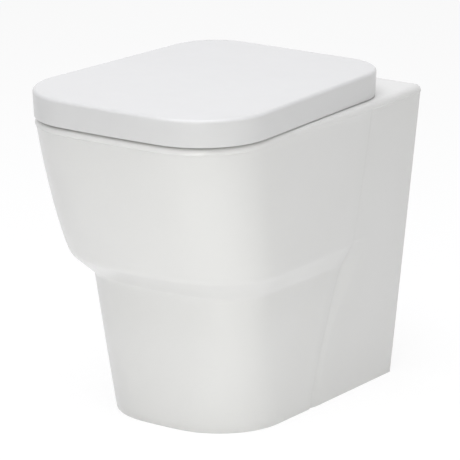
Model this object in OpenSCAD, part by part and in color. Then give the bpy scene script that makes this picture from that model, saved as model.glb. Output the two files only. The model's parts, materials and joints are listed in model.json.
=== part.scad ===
// Back to wall toilet: a fired china pan that stands against the wall, with a
// soft-close seat and a wrap-over lid on two top-fixed hinges.
// +Z is up, +X is the right-hand side seen from the front, +Y points to the wall.
// The origin lies on the floor, midway between the front of the lid and the wall.

/* [Overall] */
// Depth from the front of the lid to the wall
depth = 483; // [473:1:500]
// Height of the rim and the deck above the floor
pan_h = 420; // [412:1:432]

/* [Pan outline at the rim] */
// Width of the rim at its widest
rim_w = 350; // [346:1:354]
// How far each side of the rim draws in towards the rear block
rim_rear_in = 2.5; // [1:0.5:5]
// Radius of the two front corners of the rim
rim_corner_r = 102; // [90:1:110]
// Radius of the slightly bowed front of the rim
rim_front_r = 2500; // [1500:50:4000]
// Radius of the rounded upper edge of the rim and the deck
rim_edge_r = 6; // [4:0.5:9]

/* [Pan outline at the upper edge of the ledge] */
// Height of the upper edge of the ledge
ledge_top_h = 225; // [218:1:230]
// How far each side of the upper body stands in from the rim at the ledge
ledge_top_in = 15; // [12:0.5:18]
// How far each side stands in from the rim at the ledge, at the rear block
ledge_top_rear_in = 23.5; // [22:0.5:24]
// Setback of the upper body's front at the ledge from the front of the rim
ledge_top_back = 51; // [44:1:56]
// Radius of the upper body's front corners at the ledge
ledge_top_corner_r = 95; // [80:1:100]
// Radius of the bowed front at the upper edge of the ledge
ledge_top_front_r = 440; // [350:10:900]

/* [Pan outline at the lower edge of the ledge] */
// Height of the lower edge of the ledge
ledge_low_h = 194; // [188:1:200]
// How far each side of the plinth stands in from the rim under the ledge
ledge_low_in = 38; // [35:0.5:41]
// How far the side panels of the rear block stand out from the plinth under the ledge
ledge_low_step = 5.5; // [4:0.5:7]
// Setback of the plinth's front under the ledge from the front of the rim
ledge_low_back = 90; // [84:1:96]
// Radius of the plinth's front corners under the ledge
ledge_low_corner_r = 71; // [60:1:85]
// Radius of the plinth's bowed front under the ledge
ledge_low_front_r = 480; // [350:10:900]

/* [Pan outline at the floor] */
// How far each side of the plinth stands in from the rim at the floor
foot_in = 51; // [48:0.5:54]
// How far the side panels of the rear block stand out from the plinth at the floor
foot_step = 0.7; // [0.5:0.1:1.5]
// Height up to which the plinth stays that close to the side panels
foot_step_h = 110; // [95:5:125]
// Setback of the plinth's front at the floor from the front of the rim
foot_back = 107; // [100:1:114]
// Radius of the plinth's front corners at the floor
foot_corner_r = 96; // [80:1:110]
// Radius of the plinth's bowed front at the floor
foot_front_r = 610; // [450:10:900]

/* [Rear block] */
// How far each side of the rear block stands in from the rim, at the deck by the wall
block_top_in = 9; // [7:0.5:11]
// How far each side of the rear block stands in from the rim, at the floor by the wall
block_foot_in = 56; // [53:0.5:58]
// Depth of the rear block's side panel at the deck
block_top_depth = 126; // [120:1:132]
// Depth of the rear block's side panel at the upper edge of the ledge
block_ledge_depth = 141; // [136:1:146]
// Depth of the rear block's side panel at the lower edge of the ledge
block_plinth_depth = 155; // [150:1:160]
// Depth of the rear block's side panel at the floor
block_foot_depth = 201; // [195:1:210]
// Angle at which the side panels open towards the front at the floor
block_foot_lean = 1.3; // [1:0.1:2]
// Angle at which the side panels open towards the front at the deck
block_top_lean = 3.1; // [2.5:0.1:3.5]

/* [China walls] */
// Thickness of the skirt
skirt_t = 10; // [8:0.5:11]
// Thickness of the deck and the top of the rim
deck_t = 12; // [10:0.5:14]
// Thickness of the bowl and the trapway
bowl_t = 8; // [7:0.5:9]

/* [Bowl] */
// Half width of the opening in the rim
mouth_a = 122; // [116:1:126]
// Setback of the opening from the front of the rim
mouth_back = 54; // [50:1:60]
// Distance from the rear of the opening to the seat fixing holes
mouth_to_stud = 40; // [38:1:50]
// Room between the opening and the bowl wall for the flushing channel
channel_w = 18; // [16:0.5:20]
// Height of the flushing channel, from its floor to the deck
channel_h = 44; // [38:1:48]
// Thickness of the flushing channel's own wall and floor
channel_t = 8; // [6:0.5:9]
// Radius of each hole that rinses the bowl
rinse_hole_r = 3.5; // [2.5:0.5:4.5]
// Number of rinse holes
rinse_holes = 18; // [12:1:24]

/* [Trapway] */
// Inner radius of the trapway
trap_r = 36; // [33:0.5:37]
// Height of the bowl's outlet, where the trapway starts
trap_start_h = 126; // [122:1:132]
// Setback of the bowl's outlet from the middle of the pan towards the front
trap_start_front = 15; // [10:1:20]
// Radius of the bend at the bottom of the trapway
trap_dip_r = 60; // [56:1:64]
// Radius of the bend at the weir
trap_weir_r = 60; // [56:1:64]
// Angle at which the trapway climbs to the weir
trap_climb = 55; // [52:1:58]
// How much the straight climb stands proud of the bends at each end
trap_lute = 1; // [0.5:0.25:2]
// Height of the soil outlet's axis above the floor
outlet_h = 185; // [180:1:190]
// Outer radius of the soil outlet spigot
outlet_r = 51; // [50:0.5:52]
// Distance from the end of the spigot to the wall
outlet_wall_gap = 9; // [5:1:15]
// Thickness of the spigot's shoulder
outlet_shoulder = 4; // [3:0.5:6]

/* [Flush inlet] */
// Distance from the deck down to the flush inlet's axis
inlet_drop = 64; // [58:1:70]
// Radius of the flush inlet's bore
inlet_r = 27.5; // [25:0.5:29]
// Thickness of the flush inlet's wall
inlet_t = 7.5; // [6:0.5:9]
// Distance from the end of the flush inlet to the wall
inlet_wall_gap = 12; // [8:1:20]

/* [Floor fixing] */
// Distance of each floor fixing hole from the foot of the side panel
floor_hole_in = 21; // [17:1:26]
// Radius of a floor fixing hole
floor_hole_r = 5; // [4:0.5:6]
// Distance from the floor fixing holes to the wall
floor_hole_wall = 90; // [80:1:110]
// China between a floor fixing hole and the lug's free side
lug_rim = 9; // [7:0.5:14]
// Length of a fixing lug from front to rear
lug_len = 44; // [36:1:56]
// Height of a fixing lug
lug_h = 24; // [18:1:32]

/* [Lid] */
// How far the lid stands out over the rim at the front and the sides
lid_overhang = 1; // [0.5:0.25:3]
// How far each side of the lid draws in towards its rear
lid_rear_in = 14; // [11:0.5:17]
// Distance from the lid's rear edge to the wall
lid_wall_gap = 53.5; // [50:0.5:57]
// Radius of the lid's front corners
lid_corner_r = 99; // [92:1:108]
// Radius of the lid's rear corners
lid_rear_corner_r = 72; // [60:1:78]
// Radius of the lid's slightly bowed front
lid_front_r = 2500; // [1500:50:4000]
// Height of the lid
lid_h = 37.5; // [36:0.5:38.5]
// Thickness of the lid's skirt
lid_t = 4; // [3:0.5:5]
// Thickness of the lid's top
lid_top_t = 4; // [3:0.5:4.5]
// Radius of the lid's upper edge
lid_edge_r = 5; // [3:0.5:6]
// How far the lid's skirt draws in towards its lower edge
lid_draft = 1.5; // [0:0.5:3]
// Gap between the lid's skirt and the rim
lid_rim_gap = 1; // [0.5:0.25:2]

/* [Seat] */
// Thickness of the seat ring
seat_t = 19.5; // [18:0.5:20.5]
// Gap between the seat ring and the lid's skirt
seat_lid_gap = 2; // [1:0.5:3]
// Half width of the hole in the seat ring
seat_hole_a = 110; // [100:1:114]
// Setback of the seat's hole from the front of the lid
seat_hole_back = 72; // [68:1:84]
// Width of the seat ring behind its hole
seat_hole_rear_back = 36; // [34:1:44]
// How far each side of the seat ring draws in towards its rear
seat_rear_in = 14; // [12:0.5:18]
// Radius of the seat ring's rear corners
seat_rear_corner_r = 40; // [30:1:50]
// Radius of the seat ring's upper and lower edges
seat_edge_r = 4; // [2:0.5:6]
// Gap between the seat ring's rear edge and the feet of the hinge posts
seat_rear_gap = 2; // [1:0.5:6]
// Height of the buffers between the seat ring and the rim
seat_buffer_h = 3.5; // [3:0.5:5]
// Width of a seat buffer
seat_buffer_w = 12; // [8:1:16]
// Length of a seat buffer
seat_buffer_l = 26; // [18:1:34]
// Distance of the front buffers from the front of the lid
buffer_front_back = 118; // [105:1:130]
// Distance of the rear buffers from the rear edge of the seat ring
buffer_rear_back = 70; // [60:1:90]
// Distance of the buffers from the outer edge of the seat ring
buffer_side_in = 30; // [26:1:32]
// Radius of a lid buffer
lid_buffer_r = 6; // [5:0.5:8]

/* [Hinges] */
// Distance between the two seat fixing holes
hinge_pitch = 155; // [148:1:160]
// Height of the hinge axis above the deck
hinge_rise = 22; // [21.5:0.5:23]
// Distance from the hinge axis to the lid's rear edge
hinge_to_lid_rear = 14; // [13.5:0.25:15]
// Radius of the hinge pins
pin_r = 4; // [3:0.25:4.5]
// Distance from the seat fixing holes back to the hinge axis
hinge_reach = 28; // [27:0.5:31]
// Width of a hinge post
post_w = 19; // [17:0.5:22]
// Depth of a post's foot in front of its stud
foot_fore = 7; // [6:0.5:8]
// Depth of a post's foot behind its stud
foot_aft = 10; // [9:0.5:10]
// Height of a post's arm below the hinge axis
arm_below = 6.5; // [5:0.5:7]
// Height of a post's arm above the hinge axis
arm_above = 4; // [2:0.5:6]
// Outer radius of the hinge knuckles and of the post's head
knuckle_r = 8; // [7.5:0.25:8.5]
// Length of a seat knuckle
seat_knuckle_l = 28; // [22:1:30]
// Length of a lid knuckle
lid_knuckle_l = 26; // [22:1:30]
// Outer radius of the dampers and the bushes in the knuckles
bush_r = 6.2; // [5.5:0.1:6.5]
// Length of the dampers and the bushes
bush_l = 20; // [16:1:21]
// Radius of the cover plates and the gaskets under the posts
plate_r = 13; // [12:0.5:13.5]
// Thickness of a cover plate
plate_t = 1.5; // [1:0.25:1.75]
// Thickness of a gasket
gasket_t = 1; // [0.75:0.25:1.25]

/* [Seat fixings] */
// Radius of the fixing holes through the deck
deck_hole_r = 8; // [7:0.5:9]
// Radius of the studs
stud_r = 4; // [3:0.5:4.5]
// Height to which a stud reaches inside its post
stud_reach = 12; // [8:0.5:14]
// Length of an expansion sleeve, from the top of the deck down
sleeve_l = 34; // [28:1:40]
// Length of an expansion nut
nut_l = 10; // [8:1:14]
// Length of stud that shows below the nut
stud_tail = 3; // [1:0.5:6]

/* [Release buttons] */
// Width of a release button
button_w = 9; // [7:0.5:11]
// Height of a release button
button_h = 5; // [4:0.5:6]
// Length of a release button inside its post
button_l = 3; // [2:0.25:3.5]
// How far a release button stands out, which is also its travel
button_travel = 2; // [1:0.25:2]
// Metal left behind a button's recess, before the stud
button_wall = 0.5; // [0.25:0.25:1]

/* [Clearances] */
// Radial running clearance of the pins in the knuckles and the posts
pin_clear = 0.05; // [0.02:0.01:0.1]
// Clearance between neighbouring knuckles and posts along the pin
side_clear = 0.5; // [0.3:0.1:0.8]
// Clearance of the studs, the sleeves and the nuts
fit_clear = 0.2; // [0.1:0.05:0.3]
// Clearance between the lid's rear skirt and the deck as the lid swings
swing_clear = 0.5; // [0.3:0.1:1]
// Clearance on each side of a post in the lid's rear skirt
notch_clear = 2; // [1:0.5:3]

/* [Hidden] */
$fn = 48;

china = "#e4e5e0";
seat_white = "#eeeeee";
steel = "#c9ccd0";
rubber = "#9a9a98";
brass = "#c9a85a";
nylon = "#dcdcd6";

wall_y = depth / 2;
lid_front = -depth / 2;
lid_w = rim_w + 2 * lid_overhang;
rim_front = lid_front + lid_overhang;
deck_low = pan_h - deck_t;
lid_low = pan_h + lid_rim_gap;
lid_top = lid_low + lid_h;
lid_rear = wall_y - lid_wall_gap;
hinge_x = hinge_pitch / 2;
hinge_y = lid_rear - hinge_to_lid_rear;
hinge_z = pan_h + hinge_rise;
plate_low = pan_h + gasket_t;
post_low = plate_low + plate_t;
swing_r = hinge_rise - swing_clear;
seat_low = pan_h + seat_buffer_h;
seat_top = seat_low + seat_t;
stud_y = hinge_y - hinge_reach;
seat_rear = stud_y - foot_fore - seat_rear_gap;
lid_roof = lid_top - lid_top_t;
channel_floor = deck_low - channel_h;
nut_low = pan_h - sleeve_l - nut_l;
floor_hole_x = rim_w / 2 - block_foot_in - floor_hole_in;
lug_free_x = floor_hole_x - floor_hole_r - lug_rim;
inlet_h = pan_h - inlet_drop;
seat_inset = lid_draft + lid_t + seat_lid_gap;
seat_w = lid_w - 2 * seat_inset;
seat_front = lid_front + seat_inset;
seat_corner_r = lid_corner_r - seat_inset;
seat_insert_x = hinge_x - post_w / 2 - side_clear - bush_l;
// How far the seat's arms reach under the ring's rear edge, and their thickness
arm_root = 8;
arm_t = 8;
eps = 0.5;

// How straight the front edge of the side panel rises from the floor
block_lead = 0.17;

// Sections of the pan as vectors of height, half width at the front, half width
// at the rear, front, corner radius and front radius.
sec_rim = [pan_h, rim_w / 2, rim_w / 2 - rim_rear_in, rim_front, rim_corner_r, rim_front_r];
sec_ledge_top = [ledge_top_h, rim_w / 2 - ledge_top_in, rim_w / 2 - ledge_top_rear_in,
                 rim_front + ledge_top_back, ledge_top_corner_r, ledge_top_front_r];
sec_ledge_low = [ledge_low_h, rim_w / 2 - ledge_low_in,
                 block_front_half(ledge_low_h) - ledge_low_step,
                 rim_front + ledge_low_back, ledge_low_corner_r, ledge_low_front_r];
sec_foot = [0, rim_w / 2 - foot_in, block_front_half(0) - foot_step, rim_front + foot_back,
            foot_corner_r, foot_front_r];
sec_plinth_mix = mix(sec_foot, sec_ledge_low, foot_step_h / ledge_low_h);
sec_plinth = [foot_step_h, sec_plinth_mix[1], block_front_half(foot_step_h) - foot_step,
              sec_plinth_mix[3], sec_plinth_mix[4], sec_plinth_mix[5]];

// How far the front body runs into the rear block
block_lap = 1;
// How straight the upper body's taper is, at its front and at its rear
body_lead = 0.66;
rear_lead = 0.86;
// Share of the ledge that the roundings at its two edges take
ledge_round = 0.15;
// Share of the plinth's upper part that the fillet under the ledge takes
fillet_share = 0.08;
body_steps = 6;
round_steps = 4;
block_steps = 5;
// Where along its length an egg-shaped turn is widest, how full it is, and its points
egg_mid = 0.56;
egg_pow = 0.84;
egg_n = 40;
// How soon the bowl's sides, front and rear draw in on the way down
side_pow = 1.5;
front_pow = 1.05;
rear_pow = 1.9;
bowl_steps = 8;

// Between two values or sections; on a curve past b to c; and a share that starts slowly
function mix(a, b, t) = a + (b - a) * t;
function bend(a, b, c, t) = mix(mix(a, b, t), mix(b, c, t), t);
function led(t, lead) = lead * t + (1 - lead) * t * t;

// Points along an arc, from angle a0 to a1
function arc(cx, cy, r, a0, a1, n) =
    [for (i = [0:n]) let (a = mix(a0, a1, i / n)) [cx + r * cos(a), cy + r * sin(a)]];

// The front of an outline: two corner arcs that run into one wide front arc
function front_half(w, front, r, wide) =
    let (swing = asin((w - r) / (wide - r)),
         cy = front + wide - sqrt(pow(wide - r, 2) - pow(w - r, 2)))
    concat(arc(r - w, cy, r, 180, 270 - swing, 9),
           [for (i = [1:5]) let (a = 270 - swing + 2 * swing * i / 6)
               [wide * cos(a), front + wide + wide * sin(a)]],
           arc(w - r, cy, r, 270 + swing, 360, 9));

// One turn of the pan's front body, open to the rear block at rear
function pan_turn(s, rear, inset) =
    concat(front_half(s[1] - inset, s[3] + inset, s[4] - inset, s[5] - inset),
           [[s[2] - inset, rear], [inset - s[2], rear]]);

// A whole outline that has rounded rear corners too, for the lid and the seat
function ring_turn(w, rear_w, front, rear, r, rear_r, wide) =
    concat(front_half(w, front, r, wide),
           arc(rear_w - rear_r, rear - rear_r, rear_r, 0, 90, 8),
           arc(rear_r - rear_w, rear - rear_r, rear_r, 90, 180, 8));

// An egg-shaped turn, widest behind its middle; at a share t of 1 it is a circle
function egg_turn(a, front, rear, t = 0) =
    let (mid = mix(front, rear, mix(egg_mid, 0.5, t)), p = mix(egg_pow, 1, t))
    [for (i = [0:egg_n - 1]) let (c = cos(360 * i / egg_n), s = sin(360 * i / egg_n))
        [a * sign(c) * pow(abs(c), p),
         mid + (s < 0 ? mid - front : rear - mid) * sign(s) * pow(abs(s), p)]];

// A closed solid through turns of equal length, lowest first
module loft(heights, turns) {
    n = len(turns[0]);
    m = len(turns);
    points = [for (k = [0:m - 1]) for (p = turns[k]) [p[0], p[1], heights[k]]];
    sides = [for (k = [0:m - 2]) for (i = [0:n - 1])
        let (a = k * n + i, b = k * n + (i + 1) % n)
        each [[a, a + n, b + n], [a, b + n, b]]];
    polyhedron(points, concat([[for (i = [0:n - 1]) i]], sides,
                              [[for (i = [n - 1:-1:0]) (m - 1) * n + i]]));
}

// Section of the upper body at a share t of the way from the rim to the ledge
function body_sec(t, top, low) =
    let (s = mix(top, low, led(t, body_lead)),
         rear = mix(top[2], low[2], led(t, rear_lead)))
    [mix(top[0], low[0], t), s[1], rear, s[3], s[4], s[5]];

// Sections of the pan from the floor up to the foot of the rim's rounded edge
function pan_secs(rim, ledge_top, ledge_low, foot) =
    let (leave = body_sec(1 - 1 / body_steps, rim, ledge_top))
    concat([foot, sec_plinth],
           [for (i = [0:round_steps]) bend(mix(ledge_low, sec_plinth, fillet_share), ledge_low,
               mix(ledge_low, ledge_top, ledge_round), i / round_steps)],
           [for (i = [0:round_steps]) bend(mix(ledge_top, ledge_low, ledge_round), ledge_top,
               mix(ledge_top, leave, ledge_round), i / round_steps)],
           [for (i = [body_steps - 1:-1:1]) body_sec(i / body_steps, rim, ledge_top)]);

function raised(s, dz) = [s[0] + dz, s[1], s[2], s[3], s[4], s[5]];

// Half width, depth and lean of the rear block's sides at a height z
function block_half(z) = rim_w / 2 - mix(block_foot_in, block_top_in, z / pan_h);
function block_depth(z) =
    z < ledge_low_h ? mix(block_foot_depth, block_plinth_depth, led(z / ledge_low_h, block_lead))
    : z < ledge_top_h ? mix(block_plinth_depth, block_ledge_depth,
                            (z - ledge_low_h) / (ledge_top_h - ledge_low_h))
    : mix(block_ledge_depth, block_top_depth, (z - ledge_top_h) / (pan_h - ledge_top_h));
function block_front(z) = wall_y - block_depth(z);
function block_lean(z) = mix(block_foot_lean, block_top_lean, z / pan_h);
function block_front_half(z) = block_half(z) + block_depth(z) * tan(block_lean(z));

// One turn of the rear block, with its walls moved in and its rear moved out
function block_turn(z, inset, front_in, rear_out) =
    let (f = block_front_half(z) - inset,
         r = block_half(z) - inset,
         front = block_front(z) + front_in,
         rear = wall_y + rear_out)
    [[f, front], [r, rear], [-r, rear], [-f, front]];

// Half width, front and rear of the bowl's inside at a share t of the way down
mouth_front = rim_front + mouth_back;
mouth_rear = stud_y - mouth_to_stud;
function bowl_turn(t, out) =
    egg_turn(mix(mouth_a + channel_w, trap_r, pow(t, side_pow)) + out,
             mix(mouth_front - channel_w, -trap_start_front - trap_r, pow(t, front_pow)) - out,
             mix(mouth_rear + channel_w, trap_r - trap_start_front, pow(t, rear_pow)) + out, t);
function bowl_height(t) = mix(deck_low, trap_start_h, t);

// Points where the trapway's bends and its straight run meet, as [y, z]
dip_mid = [trap_dip_r - trap_start_front, trap_start_h];
dip_end = dip_mid + trap_dip_r * [sin(trap_climb), -cos(trap_climb)];
weir_mid_z = outlet_h - trap_weir_r;
climb_l = (weir_mid_z + trap_weir_r * cos(trap_climb) - dip_end[1]) / sin(trap_climb);
weir_mid = [dip_end[0] + climb_l * cos(trap_climb) + trap_weir_r * sin(trap_climb), weir_mid_z];

floor_hole_y = wall_y - floor_hole_wall;
button_z = (post_low + hinge_z - arm_below) / 2;
seat_knuckle_x = hinge_x - post_w / 2 - side_clear;
lid_knuckle_x = hinge_x + post_w / 2 + side_clear;
buffer_x = seat_w / 2 - buffer_side_in;
buffer_y = lid_front + buffer_front_back;

// Rinse holes at equal steps round the middle of the channel's floor
rinse_turn = egg_turn(mouth_a + (channel_w + channel_t) / 2 - 2,
                      mouth_front - (channel_w + channel_t) / 2 + 2,
                      mouth_rear + (channel_w + channel_t) / 2 - 2);
rinse_points = [for (i = [0:rinse_holes - 1]) rinse_turn[floor((i + 0.5) * egg_n / rinse_holes)]];

// ---- Solids that several pieces share ----

module pan_outside() {
    secs = pan_secs(sec_rim, sec_ledge_top, sec_ledge_low, sec_foot);
    edge = [0, 30, 60, 90];
    loft(concat([for (s = secs) s[0]], [for (a = edge) pan_h - rim_edge_r * (1 - sin(a))]),
         concat([for (s = secs) pan_turn(s, block_front(s[0]) + block_lap, 0)],
                [for (a = edge) pan_turn(sec_rim, block_front(pan_h) + block_lap,
                                         rim_edge_r * (1 - cos(a)))]));
}

module pan_inside() {
    top = raised(sec_ledge_top, skirt_t);
    low = raised(sec_ledge_low, skirt_t);
    secs = concat(pan_secs(sec_rim, top, low, raised(sec_foot, -eps)),
                  [body_sec(deck_t / (pan_h - top[0]), sec_rim, top)]);
    loft([for (s = secs) s[0]],
         [for (s = secs) pan_turn(s, block_front(s[0]) + skirt_t + block_lap, skirt_t)]);
}

module block_outside() {
    steps = concat([for (i = [0:block_steps]) ledge_low_h * i / block_steps],
                   [for (i = [0:block_steps]) mix(ledge_top_h, pan_h - rim_edge_r, i / block_steps)]);
    edge = [30, 60, 90];
    loft(concat(steps, [for (a = edge) pan_h - rim_edge_r * (1 - sin(a))]),
         concat([for (z = steps) block_turn(z, 0, 0, 0)],
                [for (a = edge) block_turn(pan_h, rim_edge_r * (1 - cos(a)), 0, 0)]));
}

module block_inside(low) {
    heights = concat([low], [for (i = [1:block_steps]) ledge_low_h * i / block_steps],
                     [ledge_top_h, deck_low]);
    loft(heights, [for (z = heights) block_turn(z, skirt_t, skirt_t, eps)]);
}

module mouth(grow, low, high) {
    translate([0, 0, low])
        linear_extrude(high - low)
            polygon(egg_turn(mouth_a + grow, mouth_front - grow, mouth_rear + grow));
}

module bowl_solid(out, extra) {
    steps = [for (i = [bowl_steps:-1:0]) i / bowl_steps];
    loft(concat([trap_start_h - extra], [for (t = steps) bowl_height(t)], [deck_low + extra]),
         concat([bowl_turn(1, out)], [for (t = steps) bowl_turn(t, out)], [bowl_turn(0, out)]));
}

module along_y(y, z, r, l) {
    translate([0, y, z])
        rotate([-90, 0, 0])
            cylinder(r = r, h = l);
}

// A rod along X that starts at x on the left or the right side of the hinge axis
module pin_rod(side, x, r, l) {
    translate([side < 0 ? -x - l : x, hinge_y, hinge_z])
        rotate([0, 90, 0])
            cylinder(r = r, h = l);
}

// A bend of the trapway in the plane of the pan's middle, from one angle to another
module trap_bend(mid, bend_r, from, to) {
    translate([0, mid[0], mid[1]])
        rotate([90, 0, 90])
            rotate([0, 0, from])
                rotate_extrude(angle = to - from)
                    translate([bend_r, 0])
                        difference() {
                            circle(r = trap_r + bowl_t);
                            circle(r = trap_r);
                        }
}

// ---- China ----

module pan_shell() {
    color(china)
        difference() {
            union() {
                pan_outside();
                block_outside();
            }
            pan_inside();
            block_inside(-eps);
            mouth(0, deck_low - 1, pan_h + 1);
            for (side = [-1, 1])
                at_stud(side, deck_low - 1)
                    cylinder(r = deck_hole_r, h = deck_t + 2);
        }
}

module bowl() {
    color(china)
        difference() {
            bowl_solid(bowl_t, 0);
            bowl_solid(0, eps);
            along_y(0, inlet_h, inlet_r, wall_y);
        }
}

module rim_channel() {
    color(china)
        difference() {
            intersection() {
                bowl_solid(0, 0);
                translate([-rim_w / 2, rim_front, channel_floor])
                    cube([rim_w, depth, channel_h]);
            }
            mouth(0, channel_floor - 1, deck_low + 1);
            difference() {
                translate([-rim_w / 2, rim_front, channel_floor + channel_t])
                    cube([rim_w, depth, channel_h]);
                mouth(channel_t, channel_floor, deck_low + channel_h);
            }
            along_y(mouth_rear + channel_t, inlet_h, inlet_r, wall_y);
            for (p = rinse_points)
                translate([p[0], p[1], channel_floor - 1])
                    cylinder(r = rinse_hole_r, h = channel_t + 2, $fn = 24);
        }
}

// The straight climb is a little thicker than the bends that it is luted to
module trapway() {
    color(china)
        union() {
            trap_bend(dip_mid, trap_dip_r, 180, 270 + trap_climb);
            translate([0, dip_end[0], dip_end[1]])
                rotate([trap_climb - 90, 0, 0])
                    translate([0, 0, -trap_lute])
                        difference() {
                            cylinder(r = trap_r + bowl_t + trap_lute, h = climb_l + 2 * trap_lute);
                            translate([0, 0, -1])
                                cylinder(r = trap_r - trap_lute / 2, h = climb_l + 2 * trap_lute + 2);
                        }
            trap_bend(weir_mid, trap_weir_r, 90, 90 + trap_climb);
        }
}

module outlet_spigot() {
    spigot_l = wall_y - outlet_wall_gap - weir_mid[0];
    color(china)
        difference() {
            along_y(weir_mid[0], outlet_h, outlet_r, spigot_l);
            along_y(weir_mid[0] - 1, outlet_h, trap_r, outlet_shoulder + 2);
            along_y(weir_mid[0] + outlet_shoulder, outlet_h, outlet_r - bowl_t, spigot_l);
        }
}

module flush_inlet() {
    color(china)
        difference() {
            along_y(mouth_rear - channel_w, inlet_h, inlet_r + inlet_t,
                    wall_y - inlet_wall_gap - mouth_rear + channel_w);
            along_y(0, inlet_h, inlet_r, wall_y);
            bowl_solid(bowl_t, 0);
        }
}

module fixing_lugs() {
    color(china)
        difference() {
            intersection() {
                block_inside(0);
                for (side = [-1, 1])
                    translate([side > 0 ? lug_free_x : -lug_free_x - rim_w,
                               floor_hole_y - lug_len / 2, 0])
                        cube([rim_w, lug_len, lug_h]);
            }
            for (side = [-1, 1])
                translate([side * floor_hole_x, floor_hole_y, -1])
                    cylinder(r = floor_hole_r, h = lug_h + 2);
        }
}

// ---- Hinges and their fixings, on the left with side = -1, on the right with 1 ----

module at_stud(side, z) {
    translate([side * hinge_x, stud_y, z])
        children();
}

module washer(side, z, t) {
    at_stud(side, z)
        difference() {
            cylinder(r = plate_r, h = t);
            translate([0, 0, -1])
                cylinder(r = stud_r + fit_clear, h = t + 2);
        }
}

module hinge_gasket(side) {
    color(rubber)
        washer(side, pan_h, gasket_t);
}

module hinge_plate(side) {
    color(steel)
        washer(side, plate_low, plate_t);
}

module hinge_post(side) {
    color(steel)
        difference() {
            union() {
                at_stud(side, post_low)
                    translate([-post_w / 2, -foot_fore, 0])
                        cube([post_w, foot_fore + foot_aft, hinge_z + arm_above - post_low]);
                at_stud(side, hinge_z - arm_below)
                    translate([-post_w / 2, 0, 0])
                        cube([post_w, hinge_reach, arm_below + arm_above]);
                pin_rod(side, hinge_x - post_w / 2, knuckle_r, post_w);
            }
            pin_rod(side, hinge_x - post_w, pin_r + pin_clear, 2 * post_w);
            at_stud(side, post_low - 1)
                cylinder(r = stud_r + fit_clear, h = stud_reach + fit_clear + 1);
            at_stud(side, button_z - button_h / 2 - fit_clear)
                translate([-button_w / 2 - fit_clear, stud_r + fit_clear + button_wall, 0])
                    cube([button_w + 2 * fit_clear, foot_aft, button_h + 2 * fit_clear]);
        }
}

module hinge_pin(side) {
    color(steel)
        pin_rod(side, seat_knuckle_x - seat_knuckle_l + side_clear, pin_r,
                seat_knuckle_l + lid_knuckle_l + post_w);
}

module fixing_stud(side) {
    color(steel)
        at_stud(side, nut_low - stud_tail)
            cylinder(r = stud_r, h = post_low + stud_reach - nut_low + stud_tail);
}

module expansion_sleeve(side) {
    color(rubber)
        at_stud(side, pan_h - sleeve_l)
            difference() {
                cylinder(r = deck_hole_r - fit_clear, h = sleeve_l);
                translate([0, 0, -1])
                    cylinder(r = stud_r + fit_clear, h = sleeve_l + 2);
            }
}

module expansion_nut(side) {
    color(brass)
        at_stud(side, nut_low)
            difference() {
                cylinder(r = deck_hole_r - fit_clear, h = nut_l, $fn = 6);
                translate([0, 0, -1])
                    cylinder(r = stud_r + fit_clear, h = nut_l + 2);
            }
}

module release_button(side) {
    color(nylon)
        at_stud(side, button_z - button_h / 2)
            translate([-button_w / 2, foot_aft - button_l, 0])
                cube([button_w, button_l + button_travel, button_h]);
}

// A damper or a bush in a knuckle, from x outwards
module knuckle_insert(side, x, paint) {
    color(paint)
        difference() {
            pin_rod(side, x, bush_r, bush_l);
            pin_rod(side, x - 1, pin_r + pin_clear, bush_l + 2);
        }
}

// The bore of a knuckle from x to x + l, with a seat for its insert at one end
module knuckle_bore(side, x, l, insert_x) {
    pin_rod(side, x - 1, pin_r + pin_clear, l + 2);
    pin_rod(side, insert_x, bush_r + pin_clear, bush_l + eps / 2);
}

// ---- Seat ----

function seat_turn(inset) =
    ring_turn(seat_w / 2 - inset, seat_w / 2 - seat_rear_in - inset, seat_front + inset,
              seat_rear - inset, seat_corner_r - inset, seat_rear_corner_r - inset,
              lid_front_r);

module seat_ring() {
    edge = [0, 30, 60, 90];
    color(seat_white)
        difference() {
            union() {
                difference() {
                    loft(concat([for (a = edge) seat_low + seat_edge_r * (1 - cos(a))],
                                [for (a = edge) seat_top - seat_edge_r * (1 - sin(a))]),
                         concat([for (a = edge) seat_turn(seat_edge_r * (1 - sin(a)))],
                                [for (a = edge) seat_turn(seat_edge_r * (1 - cos(a)))]));
                    translate([0, 0, seat_low - 1])
                        linear_extrude(seat_t + 2)
                            polygon(egg_turn(seat_hole_a, lid_front + seat_hole_back,
                                             seat_rear - seat_hole_rear_back));
                }
                for (side = [-1, 1]) {
                    translate([side > 0 ? seat_knuckle_x - seat_knuckle_l : -seat_knuckle_x,
                               seat_rear - seat_edge_r - arm_root, seat_top - arm_t])
                        cube([seat_knuckle_l, hinge_y - seat_rear + seat_edge_r + arm_root,
                              arm_t]);
                    pin_rod(side, seat_knuckle_x - seat_knuckle_l, knuckle_r, seat_knuckle_l);
                }
            }
            for (side = [-1, 1])
                knuckle_bore(side, seat_knuckle_x - seat_knuckle_l, seat_knuckle_l,
                             seat_insert_x);
        }
}

module seat_buffers() {
    color(rubber)
        for (side = [-1, 1], y = [buffer_y, seat_rear - buffer_rear_back])
            translate([side * buffer_x - seat_buffer_w / 2, y - seat_buffer_l / 2, pan_h])
                cube([seat_buffer_w, seat_buffer_l, seat_buffer_h]);
}

module seat_damper() {
    knuckle_insert(-1, seat_insert_x, nylon);
}

module seat_bush() {
    knuckle_insert(1, seat_insert_x, nylon);
}

// ---- Lid ----

function lid_turn(inset) =
    ring_turn(lid_w / 2 - inset, lid_w / 2 - lid_rear_in - inset, lid_front + inset,
              lid_rear - inset, lid_corner_r - inset, lid_rear_corner_r - inset,
              lid_front_r - inset);

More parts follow.
